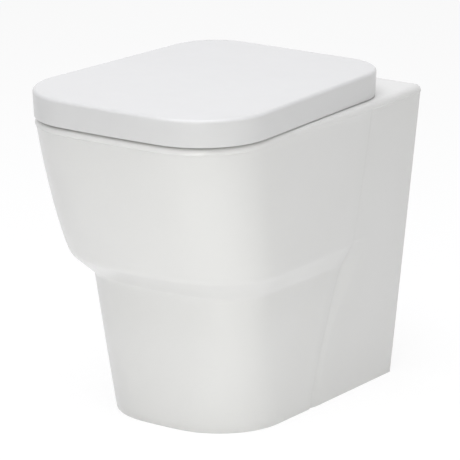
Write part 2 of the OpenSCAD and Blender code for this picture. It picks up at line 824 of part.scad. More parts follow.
module lid() {
    edge = [0, 22.5, 45, 67.5, 90];
    color(seat_white)
        difference() {
            union() {
                difference() {
                    loft(concat([lid_low], [for (a = edge) lid_top - lid_edge_r * (1 - sin(a))]),
                         concat([lid_turn(lid_draft)],
                                [for (a = edge) lid_turn(lid_edge_r * (1 - cos(a)))]));
                    loft([lid_low - eps, lid_roof], [lid_turn(lid_t + lid_draft), lid_turn(lid_t)]);
                    lid_rear_trim();
                }
                for (side = [-1, 1]) {
                    pin_rod(side, lid_knuckle_x, knuckle_r, lid_knuckle_l);
                    translate([side > 0 ? lid_knuckle_x : -lid_knuckle_x - lid_knuckle_l,
                               hinge_y - knuckle_r, hinge_z])
                        cube([lid_knuckle_l, 2 * knuckle_r, lid_roof - hinge_z + eps]);
                }
            }
            for (side = [-1, 1])
                knuckle_bore(side, lid_knuckle_x, lid_knuckle_l, lid_knuckle_x - eps / 2);
        }
}

// The lid's rear skirt is cut back to a circle round the hinge axis, and opens
// round each post, so that it clears the deck and the posts as the lid swings
module lid_rear_trim() {
    notch_w = post_w + 2 * notch_clear;
    difference() {
        translate([-lid_w / 2, hinge_y, lid_low - 1])
            cube([lid_w, hinge_to_lid_rear + 1, hinge_z - lid_low + 1]);
        pin_rod(1, -lid_w / 2, swing_r, lid_w);
    }
    for (side = [-1, 1])
        translate([side * hinge_x, hinge_y, lid_low - 1])
            translate([-notch_w / 2, 0, 0])
                cube([notch_w, hinge_to_lid_rear + 1, lid_roof - lid_low + 1]);
}

module lid_buffers() {
    color(rubber)
        for (side = [-1, 1])
            translate([side * buffer_x, buffer_y, seat_top])
                cylinder(r = lid_buffer_r, h = lid_roof - seat_top);
}

module lid_damper() {
    knuckle_insert(1, lid_knuckle_x, nylon);
}

module lid_bush() {
    knuckle_insert(-1, lid_knuckle_x, nylon);
}

pan_shell();
bowl();
rim_channel();
trapway();
outlet_spigot();
flush_inlet();
fixing_lugs();
hinge_gasket(-1);  // hinge_gasket_left
hinge_gasket(1);  // hinge_gasket_right
hinge_plate(-1);  // hinge_plate_left
hinge_plate(1);  // hinge_plate_right
hinge_post(-1);  // hinge_post_left
hinge_post(1);  // hinge_post_right
hinge_pin(-1);  // hinge_pin_left
hinge_pin(1);  // hinge_pin_right
fixing_stud(-1);  // fixing_stud_left
fixing_stud(1);  // fixing_stud_right
expansion_sleeve(-1);  // expansion_sleeve_left
expansion_sleeve(1);  // expansion_sleeve_right
expansion_nut(-1);  // expansion_nut_left
expansion_nut(1);  // expansion_nut_right
release_button(-1);  // release_button_left
release_button(1);  // release_button_right
seat_ring();
seat_buffers();
seat_damper();
seat_bush();
lid();
lid_buffers();
lid_damper();
lid_bush();
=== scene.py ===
import json
import math

import bmesh
import bpy
from mathutils import Matrix, Vector


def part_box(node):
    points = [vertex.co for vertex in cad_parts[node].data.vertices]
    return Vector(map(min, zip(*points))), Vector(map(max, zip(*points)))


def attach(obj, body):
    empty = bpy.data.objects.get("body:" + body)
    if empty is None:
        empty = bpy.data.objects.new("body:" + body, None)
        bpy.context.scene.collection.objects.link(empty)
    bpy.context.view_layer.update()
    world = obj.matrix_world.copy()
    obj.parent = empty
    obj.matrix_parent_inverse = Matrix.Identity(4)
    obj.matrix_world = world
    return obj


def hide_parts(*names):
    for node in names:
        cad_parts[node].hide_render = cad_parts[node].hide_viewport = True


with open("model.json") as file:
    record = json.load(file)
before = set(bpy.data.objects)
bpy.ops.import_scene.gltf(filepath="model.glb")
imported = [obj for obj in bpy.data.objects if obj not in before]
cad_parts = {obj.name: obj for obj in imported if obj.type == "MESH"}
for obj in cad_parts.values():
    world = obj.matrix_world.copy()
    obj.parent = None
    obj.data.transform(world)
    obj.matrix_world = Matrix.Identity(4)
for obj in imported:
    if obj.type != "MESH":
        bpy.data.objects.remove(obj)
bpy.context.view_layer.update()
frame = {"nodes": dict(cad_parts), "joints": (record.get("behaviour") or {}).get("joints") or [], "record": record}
mm = 0.001

# What the frame gives: the wall, the rim, the lid, the ring, the hinge axis and the fixings
panLow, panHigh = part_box("pan_shell")
lidLow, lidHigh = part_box("lid")
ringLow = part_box("seat_ring")[0]
plateLow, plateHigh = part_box("hinge_plate_right")
wallY = panHigh.y
rimTop = panHigh.z
rimHalf = panHigh.x
rimFront = panLow.y
hingeAxis = Vector(frame["joints"][0]["pos_m"])
fixingX = (plateLow.x + plateHigh.x) / 2
fixingY = (plateLow.y + plateHigh.y) / 2
slotOf = {part["node"]: part["material_slot"] for part in frame["record"]["subparts"]}


# Small tools for shaping

def mix(a, b, t):
    return a + (b - a) * t


def mixAll(a, b, t):
    return [mix(p, q, t) for p, q in zip(a, b)]


def bend(a, b, c, t):
    return mixAll(mixAll(a, b, t), mixAll(b, c, t), t)


def smooth(t):
    t = min(max(t, 0.0), 1.0)
    return t * t * (3 - 2 * t)


def arc(cx, cy, r, start, end, count):
    turns = [mix(start, end, i / count) for i in range(count + 1)]
    return [(cx + r * math.cos(a), cy + r * math.sin(a)) for a in turns]


def quarter(count):
    # The angles of a quarter turn, from 0 up to 90 degrees
    return [math.radians(90 * i / count) for i in range(count + 1)]


def clearSelection():
    if bpy.context.object and bpy.context.object.mode != "OBJECT":
        bpy.ops.object.mode_set(mode="OBJECT")
    bpy.ops.object.select_all(action="DESELECT")


def pick(piece):
    clearSelection()
    piece.select_set(True)
    bpy.context.view_layer.objects.active = piece


def settle(piece):
    # Place, turn and size go into the mesh
    pick(piece)
    bpy.ops.object.transform_apply(location=True, rotation=True, scale=True)
    return piece


def named(name):
    piece = bpy.context.object
    piece.name = name
    piece.data.name = name
    return piece


def sleeve(name, rings, capped=True):
    # A cylinder cut into as many levels as there are rings, then fitted to them, lowest first.
    # All rings have the same count, a multiple of 4, because the cylinder starts at 90 degrees.
    count = len(rings[0])
    clearSelection()
    fill = "NGON" if capped else "NOTHING"
    bpy.ops.mesh.primitive_cylinder_add(vertices=count, radius=1, depth=2, end_fill_type=fill)
    piece = named(name)
    bpy.ops.object.mode_set(mode="EDIT")
    bpy.ops.mesh.select_mode(type="EDGE")
    bpy.ops.mesh.select_all(action="DESELECT")
    shape = bmesh.from_edit_mesh(piece.data)
    for edge in shape.edges:
        a, b = edge.verts
        edge.select_set(abs(a.co.z - b.co.z) > 1)
    if len(rings) > 2:
        bpy.ops.mesh.subdivide(number_cuts=len(rings) - 2)
    shape = bmesh.from_edit_mesh(piece.data)
    for vert in shape.verts:
        turn = round(math.atan2(vert.co.y, vert.co.x) / math.tau * count) % count
        level = round((vert.co.z + 1) / 2 * (len(rings) - 1))
        vert.co = rings[level][turn]
    bmesh.update_edit_mesh(piece.data)
    bpy.ops.object.mode_set(mode="OBJECT")
    return piece


def editAll(piece, operate, **values):
    # One edit-mode operator on the whole mesh
    pick(piece)
    bpy.ops.object.mode_set(mode="EDIT")
    bpy.ops.mesh.select_all(action="SELECT")
    operate(**values)
    bpy.ops.object.mode_set(mode="OBJECT")
    return piece


def weld(piece, near=0.01 * mm):
    return editAll(piece, bpy.ops.mesh.remove_doubles, threshold=near)


def cut(piece, tool, operation="DIFFERENCE"):
    pick(piece)
    step = piece.modifiers.new("cut", "BOOLEAN")
    step.operation = operation
    step.solver = "EXACT"
    step.object = tool
    bpy.ops.object.modifier_apply(modifier=step.name)
    bpy.data.objects.remove(tool)
    return piece


def soften(piece, width, sharp=65):
    # Rounds the edges that turn by more than the angle, in degrees
    pick(piece)
    step = piece.modifiers.new("edges", "BEVEL")
    step.width = width
    step.segments = 3
    step.limit_method = "ANGLE"
    step.angle_limit = math.radians(sharp)
    bpy.ops.object.modifier_apply(modifier=step.name)
    return piece


def finishPiece(piece, node, body, angle=35):
    # The piece stands for its node, in that node's finish; edges past the angle stay crisp
    slot = slotOf[node]
    settle(piece)
    bpy.ops.object.shade_smooth_by_angle(angle=math.radians(angle))
    piece.data.materials.clear()
    piece.data.materials.append(materials[slot])
    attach(piece, body)
    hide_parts(node)


def block(name, low, high):
    clearSelection()
    middle = [(a + b) / 2 for a, b in zip(low, high)]
    size = [b - a for a, b in zip(low, high)]
    bpy.ops.mesh.primitive_cube_add(size=1, location=middle, scale=size)
    return settle(named(name))


def rod(name, centre, radius, length, along="Z", vertices=64):
    turn = {"X": (0, math.pi / 2, 0), "Y": (math.pi / 2, 0, 0), "Z": (0, 0, 0)}[along]
    clearSelection()
    bpy.ops.mesh.primitive_cylinder_add(vertices=vertices, radius=radius, depth=length,
                                        location=centre, rotation=turn)
    return settle(named(name))


# Outlines, as points counted from the middle of the front, round to the right

def nose(half, front, cornerR, wideR):
    # The wide front arc, the centre of the corner arc after it and the angle where they meet
    swing = math.asin((half - cornerR) / (wideR - cornerR))
    cy = front + wideR - math.sqrt((wideR - cornerR) ** 2 - (half - cornerR) ** 2)
    down = -math.pi / 2
    wide = arc(0, front + wideR, wideR, down, down + swing, 8)[:-1]
    return wide, half - cornerR, cy, down + swing


def frontRight(half, front, cornerR, wideR, rearHalf, rearY):
    # A wide front arc, a corner arc and the start of a side that runs to (rearHalf, rearY)
    points, cx, cy, meet = nose(half, front, cornerR, wideR)
    away = math.hypot(rearHalf - cx, rearY - cy)
    leave = math.atan2(rearY - cy, rearHalf - cx) - math.acos(cornerR / away)
    return points + arc(cx, cy, cornerR, meet, leave, 18)


def line(a, b, count):
    return [tuple(mixAll(a, b, i / count)) for i in range(1, count + 1)]


def mirrored(right):
    # The first and the last point lie on the middle plane
    return right + [(-x, y) for x, y in reversed(right[1:-1])]


def raised(outline, z):
    return [(x, y, z) for x, y in outline]


# The pan's outer skin: sections from the floor up to the rim

pan = {
    "ledgeTop": {"z": 225 * mm, "in": 15 * mm, "rearIn": 23.5 * mm, "back": 51 * mm,
                 "cornerR": 95 * mm, "frontR": 440 * mm},
    "ledgeLow": {"z": 194 * mm, "in": 38 * mm, "back": 90 * mm,
                 "cornerR": 71 * mm, "frontR": 480 * mm},
    "foot": {"z": 0.0, "in": 51 * mm, "back": 107 * mm,
             "cornerR": 96 * mm, "frontR": 610 * mm},
    "rim": {"z": rimTop, "in": 0.0, "rearIn": 2.5 * mm, "back": 0.0,
            "cornerR": 102 * mm, "frontR": 2500 * mm},
    "lead": 0.66,            # how straight the upper body's taper is at its front
    "rearLead": 0.86,        # and at its rear
    "ledgeRound": 7 * mm,    # reach of the rounding over the ledge
    "kinkRound": 4 * mm,     # reach of the hollow under it
    "rimRound": 9 * mm,
    "footRound": 1.5 * mm,
    "wall": 10 * mm,
    "deck": 12 * mm,         # thickness of the china under the hinges
    "fixingR": 8 * mm,       # the two holes for the seat's fixings
    "sliver": 0.12 * mm,     # the cuts leave points closer together than this, which are merged
    "levels": {"plinth": 16, "kink": 6, "ledge": 4, "shoulder": 8, "body": 18},     # of rings
}
panel = {
    "topIn": 9 * mm, "footIn": 56 * mm,            # the side panels at the wall, in from the rim
    "topDepth": 126 * mm, "ledgeDepth": 141 * mm,  # from the wall to the panel's front edge
    "plinthDepth": 155 * mm, "footDepth": 201 * mm,
    "lead": 0.17,                                  # how straight that edge runs at the floor
    "topLean": math.radians(3.1), "footLean": math.radians(1.3),   # opening towards the front
    "footStep": 0.7 * mm, "ledgeStep": 5.5 * mm,   # the panel stands out from the plinth
    "stepFrom": 100 * mm,                          # height at which that step starts to grow
    "groove": 2.4 * mm, "topGroove": 1.6 * mm,     # depth of the crease below and above the ledge
    "grooveWidth": 0.6 * mm, "edgeRound": 2.0 * mm,
    "easing": ((0.15, 0.5), (0.5, 0.15)),          # shares of that depth and of edgeRound
    "footFlare": 16 * mm, "ledgeFlare": 34 * mm, "topFlare": 45 * mm,   # from crease to full panel
}


def panelDepth(z):
    low, top = pan["ledgeLow"]["z"], pan["ledgeTop"]["z"]
    if z < low:
        t = z / low
        lead = panel["lead"] * t + (1 - panel["lead"]) * t * t
        return mix(panel["footDepth"], panel["plinthDepth"], lead)
    if z < top:
        return mix(panel["plinthDepth"], panel["ledgeDepth"], (z - low) / (top - low))
    return mix(panel["ledgeDepth"], panel["topDepth"], (z - top) / (rimTop - top))


def panelHalf(z, y):
    share = z / rimTop
    atWall = rimHalf - mix(panel["footIn"], panel["topIn"], share)
    return atWall + (wallY - y) * math.tan(mix(panel["footLean"], panel["topLean"], share))


def plinthRear(z):
    # Half width of the plinth where it meets the panel
    near = smooth((z - panel["stepFrom"]) / (pan["ledgeLow"]["z"] - panel["stepFrom"]))
    step = mix(panel["footStep"], panel["ledgeStep"], near)
    return panelHalf(z, wallY - panelDepth(z)) - step


def section(part):
    rear = rimHalf - part["rearIn"] if "rearIn" in part else plinthRear(part["z"])
    return [part["z"], rimHalf - part["in"], rear, rimFront + part["back"],
            part["cornerR"], part["frontR"]]


secRim, secTop = section(pan["rim"]), section(pan["ledgeTop"])
secLow, secFoot = section(pan["ledgeLow"]), section(pan["foot"])


def plinthSection(t):
    # A share t of the way from the floor up to the ledge
    found = mixAll(secFoot, secLow, t)
    found[2] = plinthRear(found[0])
    return found


def bodySection(t):
    # A share t of the way from the rim down to the ledge
    lead = pan["lead"] * t + (1 - pan["lead"]) * t * t
    rearLead = pan["rearLead"] * t + (1 - pan["rearLead"]) * t * t
    found = mixAll(secRim, secTop, lead)
    found[0] = mix(secRim[0], secTop[0], t)
    found[2] = mix(secRim[2], secTop[2], rearLead)
    return found


def reach(a, b, length):
    # Share of the way from section a to section b that is length long at the front
    return length / math.hypot(a[0] - b[0], a[3] - b[3])


def panSections():
    low = reach(secLow, secFoot, pan["kinkRound"])
    lowUp = reach(secLow, secTop, pan["kinkRound"])
    topDown = reach(secTop, secLow, pan["ledgeRound"])
    topUp = 1 - pan["ledgeRound"] / (secRim[0] - secTop[0])
    plinth, kink, ledge, shoulder, body = pan["levels"].values()
    found = [plinthSection((1 - low) * i / plinth) for i in range(plinth)]
    found += [bend(plinthSection(1 - low), secLow, mixAll(secLow, secTop, lowUp), i / kink)
              for i in range(kink + 1)]
    found += [mixAll(secLow, secTop, mix(lowUp, 1 - topDown, i / ledge)) for i in range(1, ledge)]
    found += [bend(mixAll(secTop, secLow, topDown), secTop, bodySection(topUp), i / shoulder)
              for i in range(shoulder + 1)]
    return found + [bodySection(topUp * (1 - i / body)) for i in range(1, body + 1)]


def flareLength(z):
    # How far behind the crease the panel is at its full width again
    low, top = pan["ledgeLow"]["z"], pan["ledgeTop"]["z"]
    near = smooth((z - panel["stepFrom"]) / (low - panel["stepFrom"]))
    below = mix(panel["footFlare"], panel["ledgeFlare"], near)
    return mix(below, panel["topFlare"], smooth((z - low) / (top - low)))


def panOutline(sec, inset=0.0):
    # One turn of body and rear block: front, side, crease, panel, wall
    z, half, rearHalf, front, cornerR, frontR = sec
    creaseY = wallY - panelDepth(z)
    right = frontRight(half - inset, front + inset, cornerR - inset, frontR - inset,
                       rearHalf - inset, creaseY)
    edge, eased, width = rearHalf - inset, panel["edgeRound"], panel["grooveWidth"]
    deep = panel["groove"] if z < pan["ledgeTop"]["z"] else panel["topGroove"]
    right += line(right[-1], (edge, creaseY - eased), 8)
    right += [(edge - sunk * deep, creaseY - before * eased) for sunk, before in panel["easing"]]
    right.append((edge - deep, creaseY + width / 2))
    length = flareLength(z)
    for i in range(9):
        y = creaseY + width + (length - width) * i / 8
        t = (y - creaseY - width / 2) / (length - width / 2)
        swell = mix(t, smooth(t), 0.5)
        right.append((mix(edge - deep, panelHalf(z, y) - inset, swell), y))
    corner = (panelHalf(z, wallY) - inset, wallY)
    right += line(right[-1], corner, 5)
    right += line(corner, (0.0, wallY), 5)
    return mirrored(right)


def panRings():
    foot, rim = pan["footRound"], pan["rimRound"]
    rings = [raised(panOutline(secFoot, foot * (1 - math.sin(a))), foot * (1 - math.cos(a)))
             for a in quarter(4)[:-1]]
    rings += [raised(panOutline(sec), sec[0]) for sec in panSections()[1:-1]]
    rings += [raised(panOutline(secRim, rim * (1 - math.cos(a))), rimTop - rim * (1 - math.sin(a)))
              for a in quarter(8)]
    return rings


def innerOutline(sec):
    z, half, rearHalf, front, cornerR, frontR = sec
    wall = pan["wall"]
    rear = wallY - panelDepth(z) + wall + mm
    right = frontRight(half - wall, front + wall, cornerR - wall, frontR - wall,
                       rearHalf - wall, rear)
    right += line(right[-1], (rearHalf - wall, rear), 8)
    right += line(right[-1], (0.0, rear), 6)
    return mirrored(right)


# Where the room inside has its sections, as shares of the way up the plinth and down the body
room = {"plinth": (0, 0.3, 0.6, 0.9), "kinkFrom": 0.96, "ledge": 0.3, "body": 0.9, "round": 5,
          "bodyLevels": 10}


def panHollow():
    # The room inside the front body, one wall in from its skin
    lift = [pan["wall"], 0, 0, 0, 0, 0]
    top = [a + b for a, b in zip(secTop, lift)]
    low = [a + b for a, b in zip(secLow, lift)]
    steps, count, share = room["round"], room["bodyLevels"], room["ledge"]
    secs = [[-mm] + secFoot[1:]] + [plinthSection(t) for t in room["plinth"]]
    enter, leave = plinthSection(room["kinkFrom"]), mixAll(low, top, share)
    secs += [bend(enter, low, leave, i / steps) for i in range(steps + 1)]
    near = room["body"]
    enter, leave = mixAll(top, low, share), mixAll(top, bodySection(near), near)
    secs += [bend(enter, top, leave, i / steps) for i in range(steps + 1)]
    secs += [bodySection(i / count) for i in range(count - 2, 0, -1)]
    last = bodySection(pan["deck"] / (rimTop - top[0]))
    last[0] = rimTop - pan["deck"]
    return sleeve("panHollow", [raised(innerOutline(s), s[0]) for s in secs + [last]])


def blockHollow():
    # The room inside the rear block, open at the wall and at the floor
    wall, low = pan["wall"], pan["ledgeLow"]["z"]
    rings = []
    heights = [-mm] + [low * i / 10 for i in range(1, 11)]
    for z in heights + [pan["ledgeTop"]["z"], rimTop - pan["deck"]]:
        front = wallY - panelDepth(z) + wall
        f, r = panelHalf(z, front - wall) - wall, panelHalf(z, wallY) - wall
        rings.append([(-f, front, z), (f, front, z), (r, wallY + mm, z), (-r, wallY + mm, z)])
    return sleeve("blockHollow", rings)


# The mouth of the bowl, and every egg-shaped outline

eggShape = {"points": 128, "widest": 0.56, "power": 0.84}
mouth = {"half": 122 * mm, "back": 54 * mm, "toFixings": 40 * mm, "round": 4 * mm}
mouthFront = rimFront + mouth["back"]
mouthRear = fixingY - mouth["toFixings"]


def egg(half, front, rear, roundness=0.0, like=None):
    # Widest behind its middle and a little squarer than an ellipse, counted from the front.
    # Roundness 1 makes it an ellipse, and like is an outline whose points it is matched to.
    middle = mix(front, rear, mix(eggShape["widest"], 0.5, roundness))
    power = mix(eggShape["power"], 1, roundness)
    count = eggShape["points"]
    turns = [math.tau * i / count - math.pi / 2 for i in range(count)]
    if like:
        turns = [math.atan2((y - middle) / ((middle - front) if y < middle else (rear - middle)),
                            x / half) for x, y in like]
    found = []
    for turn in turns:
        c, s = math.cos(turn), math.sin(turn)
        run = middle - front if s < 0 else rear - middle
        found.append((half * math.copysign(abs(c) ** power, c),
                      middle + run * math.copysign(abs(s) ** power, s)))
    return found


def mouthTurn(grow=0.0):
    return egg(mouth["half"] + grow, mouthFront - grow, mouthRear + grow)


def mouthCutter():
    r = mouth["round"]
    rings = [raised(mouthTurn(), rimTop - pan["deck"] - mm)]
    rings += [raised(mouthTurn(r * (1 - math.cos(a))), rimTop - r * (1 - math.sin(a)))
              for a in quarter(8)]
    rings.append(raised(mouthTurn(r + mm), rimTop + mm))
    return sleeve("mouthCutter", rings)


def makePan():
    piece = sleeve("panSkin", panRings())
    cut(piece, panHollow())
    cut(piece, blockHollow())
    cut(piece, mouthCutter())
    for side in (-1, 1):
        cut(piece, rod("hole", (side * fixingX, fixingY, rimTop - pan["deck"] / 2), pan["fixingR"],
                       pan["deck"] + 4 * mm, vertices=48))
    return weld(piece, pan["sliver"])


# The bowl and the flushing channel under the rim

bowl = {"channel": 18 * mm, "wall": 8 * mm, "outletZ": 126 * mm, "outletR": 36 * mm,
        "outletY": -15 * mm, "levels": 30,
        "sideCurve": 1.5, "frontCurve": 1.05, "rearCurve": 1.9,      # how it narrows downwards
        "channelHigh": 44 * mm, "channelEdge": 1.5 * mm,
        "rinseHoles": 18, "rinseR": 3.5 * mm, "rinseIn": 2 * mm, "inletWall": 7.5 * mm}
bowlTop = rimTop - pan["deck"]
inletLow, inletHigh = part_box("flush_inlet")
inletZ = (inletLow.z + inletHigh.z) / 2
inletBore = (inletHigh.z - inletLow.z) / 2 - bowl["inletWall"]


def bowlTurn(t, out=0.0):
    # A share t of the way down to the outlet
    grow, r, y = bowl["channel"], bowl["outletR"], bowl["outletY"]
    return egg(mix(mouth["half"] + grow, r, t ** bowl["sideCurve"]) + out,
               mix(mouthFront - grow, y - r, t ** bowl["frontCurve"]) - out,
               mix(mouthRear + grow, y + r, t ** bowl["rearCurve"]) + out, t)


def bowlShare(z):
    return (bowlTop - z) / (bowlTop - bowl["outletZ"])


def makeBowl():
    levels = [i / bowl["levels"] for i in range(bowl["levels"] + 1)]
    heights = [mix(bowlTop, bowl["outletZ"], t) for t in levels]
    rings = [raised(bowlTurn(t, bowl["wall"]), z) for t, z in zip(levels[::-1], heights[::-1])]
    rings += [raised(bowlTurn(t), z) for t, z in zip(levels, heights)]
    piece = weld(sleeve("bowlSkin", rings + rings[:1], capped=False))
    return cut(piece, rod("bore", (0, wallY / 2, inletZ), inletBore, wallY, along="Y"))


def makeChannel():
    # Its floor, its inner wall under the mouth and the rinse holes; the bowl is its outer wall
    low, edge, wall = bowlTop - bowl["channelHigh"], bowl["channelEdge"], bowl["wall"]
    eased, floor = 0.3 * edge, low + wall
    rings = [raised(bowlTurn(bowlShare(low)), low),
             raised(mouthTurn(edge), low), raised(mouthTurn(eased), low + eased),
             raised(mouthTurn(), low + edge), raised(mouthTurn(), bowlTop),
             raised(mouthTurn(wall), bowlTop), raised(mouthTurn(wall), floor),
             raised(bowlTurn(bowlShare(floor)), floor), raised(bowlTurn(bowlShare(low)), low)]
    piece = weld(sleeve("channelSkin", rings, capped=False))
    editAll(piece, bpy.ops.mesh.flip_normals)     # its rings run inwards first
    inner = mouthRear + wall
    cut(piece, rod("bore", (0, (inner + wallY) / 2, inletZ), inletBore, wallY - inner, along="Y"))
    middle = mouthTurn((bowl["channel"] + wall) / 2 - bowl["rinseIn"])
    for i in range(bowl["rinseHoles"]):
        x, y = middle[int((i + 0.5) * len(middle) / bowl["rinseHoles"])]
        cut(piece, rod("hole", (x, y, low + wall / 2), bowl["rinseR"], 2 * wall, vertices=20))
    return piece


# Lid and seat: outlines with four round corners

def roundOutline(half, rearHalf, front, rear, cornerR, rearR, wideR):
    right, cx, cy, meet = nose(half, front, cornerR, wideR)
    a, b = Vector((cx, cy)), Vector((rearHalf - rearR, rear - rearR))
    leave = math.atan2(b.y - a.y, b.x - a.x) - math.acos((cornerR - rearR) / (b - a).length)
    right += arc(a.x, a.y, cornerR, meet, leave, 18)
    rearCorner = arc(b.x, b.y, rearR, leave, math.pi / 2, 14)
    right += line(right[-1], rearCorner[0], 8)
    right += rearCorner[1:]
    right += line(right[-1], (0.0, rear), 4)
    return mirrored(right)


lid = {"rearIn": 14 * mm, "cornerR": 99 * mm, "rearCornerR": 72 * mm, "frontR": 2500 * mm,
       "wall": 4 * mm, "roof": 4 * mm, "roofRound": 2 * mm, "edge": 5 * mm, "lip": 0.5 * mm,
       "draft": 1.5 * mm,     # how far the side leans in towards its foot
       "sideLevels": 6, "crown": 0.8 * mm,
       "dome": ((15 * mm, 0.35), (35 * mm, 0.7), (60 * mm, 1.0)),     # inset and share of the crown
       "swing": 21.5 * mm,    # the rear edge is cut to this radius round the pins
       "notch": 23 * mm}      # the gap in it for each post
hinge = {"knuckleR": 8 * mm, "seatKnuckle": 28 * mm, "lidKnuckle": 26 * mm, "side": 0.5 * mm,
         "postW": 19 * mm, "boreR": 6.25 * mm, "insert": 20 * mm, "insertGap": 0.25 * mm,
         "pinBore": 4.05 * mm}


def lidOutline(inset):
    half = lidHigh.x - inset
    return roundOutline(half, half - lid["rearIn"], lidLow.y + inset, lidHigh.y - inset,
                        lid["cornerR"] - inset, lid["rearCornerR"] - inset, lid["frontR"] - inset)


def hingeRod(name, side, start, radius, length):
    x = hingeX(side, start, length)
    return rod(name, (x, hingeAxis.y, hingeAxis.z), radius, length, along="X")


def addKnuckle(piece, root, side, start, length, bore):
    # A knuckle on its root, with the place (start, length) of its insert and a hole for the pin
    cut(root, hingeRod("knuckle", side, start, hinge["knuckleR"], length), operation="UNION")
    cut(piece, root, operation="UNION")
    cut(piece, hingeRod("bore", side, bore[0], hinge["boreR"], bore[1]))
    cut(piece, hingeRod("pinBore", side, start - mm, hinge["pinBore"], length + 2 * mm))


def hingeX(side, start, length):
    return side * (start + length / 2)


def makeLid():
    low, top = lidLow.z, lidHigh.z
    draft, lip, edge, wall = lid["draft"], lid["lip"], lid["edge"], lid["wall"]
    rings = [raised(lidOutline(draft + lip * (1 - math.sin(a))), low + lip * (1 - math.cos(a)))
             for a in quarter(4)[:-1]]
    straight = top - lid["crown"] - edge
    for i in range(lid["sideLevels"]):
        t = i / lid["sideLevels"]
        rings.append(raised(lidOutline(draft * (1 - t)), mix(low + lip, straight, t)))
    rings += [raised(lidOutline(edge * (1 - math.cos(a))), straight + edge * math.sin(a))
              for a in quarter(8)]
    rings += [raised(lidOutline(inset), top - lid["crown"] * (1 - lift))
              for inset, lift in lid["dome"]]
    piece = sleeve("lidSkin", rings)
    roof, r = top - lid["roof"], lid["roofRound"]
    inner = [raised(lidOutline(wall + draft - lip / 2), z) for z in (low - mm, low)]
    inner.append(raised(lidOutline(wall + draft), low + lip / 2))
    inner += [raised(lidOutline(wall + r * (1 - math.cos(a))), roof - r * (1 - math.sin(a)))
              for a in quarter(3)]
    cut(piece, sleeve("lidHollow", inner))
    trim = block("trim", (-lidHigh.x, hingeAxis.y, low - mm),
                 (lidHigh.x, lidHigh.y + mm, hingeAxis.z))
    cut(trim, rod("swing", (0, hingeAxis.y, hingeAxis.z), lid["swing"], 3 * lidHigh.x, along="X",
                  vertices=128))
    cut(piece, trim)
    for side in (-1, 1):
        x = side * fixingX
        cut(piece, block("notch", (x - lid["notch"] / 2, hingeAxis.y, low - mm),
                         (x + lid["notch"] / 2, lidHigh.y + mm, roof + mm)))
    start, length = fixingX + hinge["postW"] / 2 + hinge["side"], hinge["lidKnuckle"]
    bore = (start - mm, hinge["insert"] + hinge["insertGap"] + mm)
    for side in (-1, 1):
        x = hingeX(side, start, length)
        web = block("web", (x - length / 2, hingeAxis.y - hinge["knuckleR"], hingeAxis.z),
                    (x + length / 2, hingeAxis.y + hinge["knuckleR"], roof + mm))
        addKnuckle(piece, web, side, start, length, bore)
    return piece


seat = {"inset": 7.5 * mm, "rearIn": 14 * mm, "rearCornerR": 40 * mm, "thick": 19.5 * mm,
        "toFixings": 9 * mm, "edge": 4 * mm, "holeHalf": 110 * mm, "holeBack": 72 * mm,
        "holeToRear": 36 * mm, "holeEdge": 6 * mm, "holeLowEdge": 2 * mm, "dish": 3 * mm,
        "armT": 8 * mm, "armRoot": 8 * mm}
seatTop = ringLow.z + seat["thick"]
seatRear = fixingY - seat["toFixings"]
seatHalf = lidHigh.x - seat["inset"]
seatFront = lidLow.y + seat["inset"]


def seatOutline(inset):
    half = seatHalf - inset
    return roundOutline(half, half - seat["rearIn"], seatFront + inset, seatRear - inset,
                        lid["cornerR"] - seat["inset"] - inset, seat["rearCornerR"] - inset,
                        lid["frontR"] - inset)


def seatHole(grow):
    return egg(seat["holeHalf"] + grow, lidLow.y + seat["holeBack"] - grow,
               seatRear - seat["holeToRear"] + grow, like=seatOutline(0))


def makeSeat():
    low, top = ringLow.z, seatTop
    edge, dish = seat["edge"], seat["dish"]
    holeEdge, lowEdge = seat["holeEdge"], seat["holeLowEdge"]
    turns = quarter(6)
    rings = [raised(seatOutline(edge * (1 - math.sin(a))), low + edge * (1 - math.cos(a)))
             for a in turns]
    rings += [raised(seatOutline(edge * (1 - math.cos(a))), top - edge * (1 - math.sin(a)))
              for a in turns]
    outer, inner = seatOutline(edge), seatHole(holeEdge)
    for t in (0.2, 0.4, 0.6, 0.8):
        between = [mixAll(a, b, t) for a, b in zip(outer, inner)]
        rings.append(raised(between, top - dish * smooth(t)))
    rings += [raised(seatHole(holeEdge * (1 - math.sin(a))),
                     top - dish - holeEdge * (1 - math.cos(a))) for a in turns]
    rings += [raised(seatHole(lowEdge * (1 - math.cos(a))), low + lowEdge * (1 - math.sin(a)))
              for a in turns]
    piece = weld(sleeve("seatSkin", rings + rings[:1], capped=False))
    length = hinge["seatKnuckle"]
    start = fixingX - hinge["postW"] / 2 - hinge["side"] - length
    bore = (start + length - hinge["insert"] - hinge["insertGap"], hinge["insert"] + 2 * mm)
    for side in (-1, 1):
        x = hingeX(side, start, length)
        rootY = seatRear - seat["edge"] - seat["armRoot"]
        arm = block("arm", (x - length / 2, rootY, top - seat["armT"]),
                    (x + length / 2, hingeAxis.y, top))
        addKnuckle(piece, arm, side, start, length, bore)
    return piece


# The hinge posts and what holds them

def turned(name, centre, profile, along="Z", count=48, hollow=False):
    # A round part from its profile of (radius, place along the axis), lowest first
    turns = [math.tau * i / count for i in range(count)]
    rings = [[(r * math.cos(a), r * math.sin(a), z) for a in turns] for r, z in profile]
    piece = weld(sleeve(name, rings + rings[:1], capped=False)) if hollow else sleeve(name, rings)
    piece.location = centre
    if along == "X":
        piece.rotation_euler = (0, math.pi / 2, 0)
    return settle(piece)


def joined(pieces):
    clearSelection()
    for piece in pieces:
        piece.select_set(True)
    bpy.context.view_layer.objects.active = pieces[0]
    bpy.ops.object.join()
    return pieces[0]


